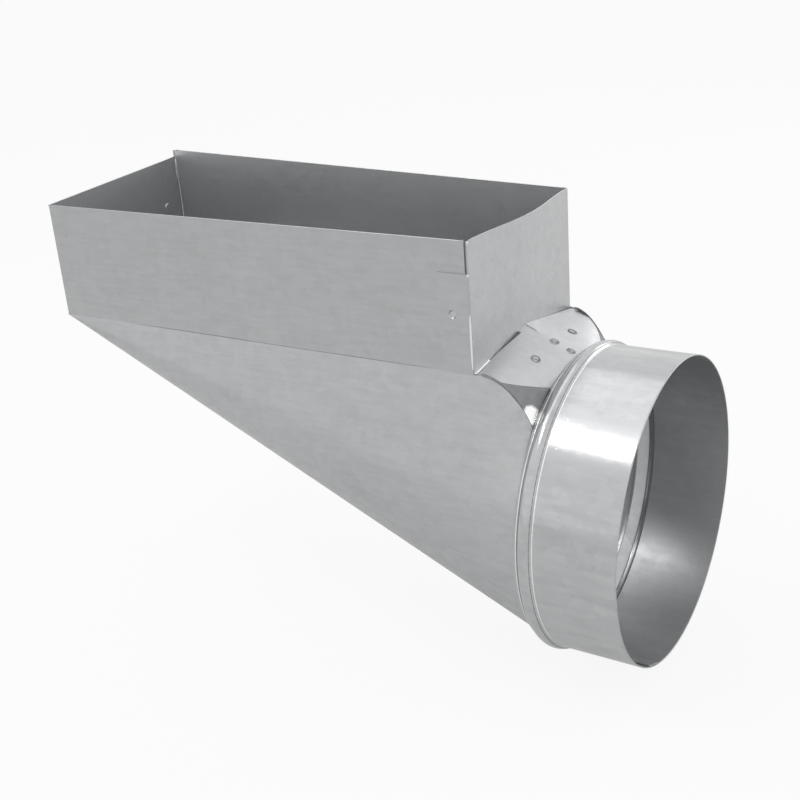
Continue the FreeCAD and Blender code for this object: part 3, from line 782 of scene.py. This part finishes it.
@dataclass
class RoundEnd:
    """Round collar with its cut lip and lines of painted highlight and painted shade on its bead.

    The tail is its end's place along the duct and its radius, and shoulder_lean is in radians.
    """

    radius: float = 76.0
    tail: tuple = (-50.5, 74.22)
    bead_start: float = -47.7
    bead_end: float = -40.7
    bead_height: float = 0.72
    shoulder_in: float = 0.8
    shoulder_lean: float = -0.8
    wall: float = 0.5
    ring_points: int = 240
    lip_section: Oval = Oval(0.32, 0.32)

    def dress(self, sheet: bpy.types.Material) -> None:
        """Gives the collar its zinc.

        Args:
            sheet: the zinc material.
        """
        dress_node("round_collar", sheet)

    def around(self) -> np.ndarray:
        """Unit directions once round the X axis, (0, sin t, cos t), one row each."""
        turn = np.linspace(0, 2 * np.pi, self.ring_points, endpoint=False)
        return np.stack([0 * turn, np.sin(turn), np.cos(turn)], 1)

    def lip(self, edge: bpy.types.Material) -> None:
        """Rounded cut edge of the open end, a ring about the X axis.

        Args:
            edge: the cut steel material.
        """
        out = self.around()
        path = (self.radius - self.wall / 2) * out - np.array((self.lip_section.height / 2, 0, 0))
        new_piece("collar_lip", *self.lip_section.carry(path, out, closed=True), edge, "galvanised_collar")

    def bead_lines(self, painted_highlight: bpy.types.Material, painted_groove_shade: bpy.types.Material) -> None:
        """Lines along the bead, rings about the X axis: two painted highlights and two of painted shade.

        Each has its place along the duct, its radius and the lean of the sheet that it lies on. The numbers
        added to a place or a radius set the line into its sheet.

        Args:
            painted_highlight: the near-white material of the painted highlights.
            painted_groove_shade: the dark material of the painted shade.
        """
        around = self.around()
        tail_x, tail_radius = self.tail
        tail_lean = math.atan2(self.radius - tail_radius, self.bead_start - tail_x)
        lines = (("tail", (tail_x + self.bead_start) / 2 + 0.3, (self.radius + tail_radius) / 2 + 0.2,
                  tail_lean, Oval(0.12, 0.45), painted_highlight),
                 ("foot", self.bead_start + 0.1, self.radius, 0.0, Oval(0.2, 0.35), painted_groove_shade),
                 ("shoulder", self.bead_end - self.shoulder_in, self.radius + self.bead_height,
                  self.shoulder_lean, Oval(0.1, 0.3), painted_groove_shade),
                 ("toe", self.bead_end + 0.3, self.radius - 0.02, 0.0, Oval(0.12, 0.35), painted_highlight))
        for name, x, radius, lean, section, finish in lines:
            out = around * math.cos(lean) - np.array((math.sin(lean), 0, 0))
            path = radius * around + np.array((x, 0, 0))
            new_piece(f"bead_line_{name}", *section.carry(path, out, closed=True), finish, "galvanised_collar")


@dataclass(frozen=True)
class Softbox:
    """Soft rectangular lamp that faces the collar.

    Its azimuth and elevation are in degrees as seen from the collar, with azimuth 0 towards the front and 90
    towards +X. Its distance and size are in metres.
    """

    name: str
    azimuth: float
    elevation: float
    distance: float
    width: float
    height: float
    watts: float

    def build(self) -> None:
        """Makes the lamp."""
        data = bpy.data.lights.new(self.name, "AREA")
        data.shape = "RECTANGLE"
        data.size, data.size_y = self.width, self.height
        data.energy = self.watts
        azimuth, elevation = math.radians(self.azimuth), math.radians(self.elevation)
        away = Vector((math.sin(azimuth) * math.cos(elevation), -math.cos(azimuth) * math.cos(elevation),
                       math.sin(elevation)))
        lamp = bpy.data.objects.new(self.name, data)
        lamp.location = away * self.distance
        lamp.rotation_euler = away.to_track_quat("Z", "Y").to_euler()
        bpy.context.scene.collection.objects.link(lamp)


@dataclass
class Studio:
    """Pale floor, soft lamps and the camera at the photograph's viewing angle."""

    eye: tuple = (178.9, -498.9, 279.0)
    target: tuple = (-154.9, 0.0, 34.0)
    roll: float = -4.577
    lens: float = 54.45
    sensor: float = 36.0
    floor_z: float = -79.6
    floor_half: float = 30000.0
    floor_paint: str = "#F2F2F2"
    floor_seen: float = 0.9
    floor_mirrored: float = 0.35
    sky: str = "#E6E6E6"
    sky_strength: float = 0.8
    lamps: tuple = (Softbox("softbox_front_left", -48, 57, 1.2, 0.45, 0.10, 1.8),
                    Softbox("softbox_top", -112, 66, 1.4, 1.3, 1.1, 2.2),
                    Softbox("softbox_back", 160, 22, 1.5, 1.2, 0.5, 2.5))

    def camera(self) -> None:
        """Camera fitted to the photograph, for a square picture, turned about its line of sight by roll."""
        data = bpy.data.cameras.new("studio_camera")
        data.lens = self.lens
        data.sensor_width = self.sensor
        eye, target = Vector(self.eye) * MM, Vector(self.target) * MM
        back = (eye - target).normalized()
        right = (-back).cross(Vector(UP)).normalized()
        up = right.cross(-back)
        turn = math.radians(self.roll)
        side = right * math.cos(turn) + up * math.sin(turn)
        top = up * math.cos(turn) - right * math.sin(turn)
        rotation = Matrix((side, top, back)).transposed().to_4x4()
        rotation.translation = eye
        camera = bpy.data.objects.new("studio_camera", data)
        camera.matrix_world = rotation
        bpy.context.scene.collection.objects.link(camera)
        bpy.context.scene.camera = camera

    def seen_white(self, tree: bpy.types.NodeTree, eye_share: float,
                   mirror_share: float) -> bpy.types.NodeSocket:
        """Share of the plain white that the camera, reflections and clear pieces see.

        Args:
            tree: the node tree to add to.
            eye_share: share for the camera's rays.
            mirror_share: share for reflected rays and rays through clear pieces.

        Returns:
            A socket with that share, and 0 for all other rays.
        """
        path = add_node(tree, "ShaderNodeLightPath")
        bent = add_node(tree, "ShaderNodeMath", {"operation": "MAXIMUM"},
                        {0: path.outputs["Is Glossy Ray"], 1: path.outputs["Is Transmission Ray"]})
        mirrored = add_node(tree, "ShaderNodeMath", {"operation": "MULTIPLY", 1: mirror_share},
                            {0: bent.outputs[0]})
        total = add_node(tree, "ShaderNodeMath", {"operation": "MULTIPLY_ADD", 1: eye_share},
                         {0: path.outputs["Is Camera Ray"], 2: mirrored.outputs[0]})
        return total.outputs[0]

    def floor(self) -> None:
        """White floor that still takes the object's shadow."""
        material, output = new_material("matt_white_floor")
        tree = material.node_tree
        paint = add_node(tree, "ShaderNodeBsdfDiffuse", {"Color": linear(self.floor_paint)})
        glow = add_node(tree, "ShaderNodeEmission", {"Color": WHITE, "Strength": 1.0})
        mix = add_node(tree, "ShaderNodeMixShader",
                       links={0: self.seen_white(tree, self.floor_seen, self.floor_mirrored),
                              1: paint.outputs[0], 2: glow.outputs[0]})
        tree.links.new(mix.outputs[0], output.inputs[0])
        half = self.floor_half * MM
        corners = ((-half, -half), (half, -half), (half, half), (-half, half))
        mesh = bpy.data.meshes.new("studio_floor")
        mesh.from_pydata([(x, y, self.floor_z * MM) for x, y in corners], [], [(0, 1, 2, 3)])
        mesh.materials.append(material)
        floor = bpy.data.objects.new("studio_floor", mesh)
        bpy.context.scene.collection.objects.link(floor)

    def world(self) -> None:
        """White world for the eye, a softer grey for the light that it sheds."""
        world = bpy.data.worlds.new("studio_world")
        bpy.context.scene.world = world
        world.use_nodes = True
        tree = world.node_tree
        tree.nodes.clear()
        output = add_node(tree, "ShaderNodeOutputWorld")
        plain = add_node(tree, "ShaderNodeBackground",
                         {"Color": linear(self.sky), "Strength": self.sky_strength})
        white = add_node(tree, "ShaderNodeBackground", {"Color": WHITE, "Strength": 1.0})
        mix = add_node(tree, "ShaderNodeMixShader",
                       links={0: self.seen_white(tree, 1.0, 1.0), 1: plain.outputs[0], 2: white.outputs[0]})
        tree.links.new(mix.outputs[0], output.inputs[0])

    def build(self) -> None:
        """Builds the whole studio."""
        self.camera()
        self.floor()
        self.world()
        for lamp in self.lamps:
            lamp.build()


def main() -> None:
    """Builds the finishes, the pieces and the studio in order."""
    logging.basicConfig(level=logging.INFO)
    sheet_zinc = GalvanisedZinc("galvanised_zinc_sheet", "#C4C5C6", "#ABACAD", 0.40).material()
    # Back sheet painted lighter than the front, as painted light on its end wall and roof
    back_zinc = GalvanisedZinc("galvanised_zinc_back_sheet", "#D1D2D3", "#BCBDBE", 0.38, base_tone_mm=52.35)
    collar_zinc = GalvanisedZinc("galvanised_zinc_collar", "#CDCECF", "#A8A9AA", 0.20, metallic=0.9,
                                 wave_mm=40.0, wave_depth_mm=0.4, streak_mm=4.0, cloud_share=0.30,
                                 inside_mm=75.75)
    edge = CutSteel("sheared_steel_edge", "#CACBCC", "#A4A6A8", 0.32, 0.48).material()
    # Near-white finish: painted highlights on the corner folds and the bead
    painted_highlight = CutSteel("painted_highlight_fold", "#FCFCFC", "#E4E5E6", 0.15, 0.30).material()
    # Hem finish: a painted highlight on the closed fold
    hem = CutSteel("painted_highlight_hem", "#F0F1F2", "#D8D9DA", 0.24, 0.40).material()
    # Dark finish of the throat's gap and the bead's dark lines: painted shade
    painted_groove_shade = CutSteel("painted_shade_groove", "#96989A", "#7A7C7E", 0.45, 0.60).material()
    # Dark finish of the crease and the shallow buttons' rings: painted shade
    bend = CutSteel("painted_shade_bend", "#A0A2A4", "#888A8C", 0.45, 0.60).material()
    box = RegisterBox()
    box.dress(sheet_zinc, back_zinc.material())
    box.rim(edge)
    box.crease(bend)
    box.corner_fold(painted_highlight)
    throat = Throat()
    throat.hem(hem)
    throat.button_rims(sheet_zinc, bend)
    # Throat sides: painted shade with a painted highlight, and a gap painted dark as shadow
    throat.sides(PaintedShadeAndHighlightZinc(throat.painted_highlight_spot()).material(), painted_groove_shade, edge)
    collar = RoundEnd()
    collar.dress(collar_zinc.material())
    collar.lip(edge)
    collar.bead_lines(painted_highlight, painted_groove_shade)
    Studio().build()
    bpy.context.scene.view_settings.view_transform = "Standard"


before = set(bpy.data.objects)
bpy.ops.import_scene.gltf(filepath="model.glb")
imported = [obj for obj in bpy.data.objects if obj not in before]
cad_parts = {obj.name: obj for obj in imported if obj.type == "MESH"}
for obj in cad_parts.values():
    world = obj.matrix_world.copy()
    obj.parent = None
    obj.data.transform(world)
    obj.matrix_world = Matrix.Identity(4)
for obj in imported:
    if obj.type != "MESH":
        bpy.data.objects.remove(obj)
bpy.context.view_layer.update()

if __name__ == "__main__":
    main()
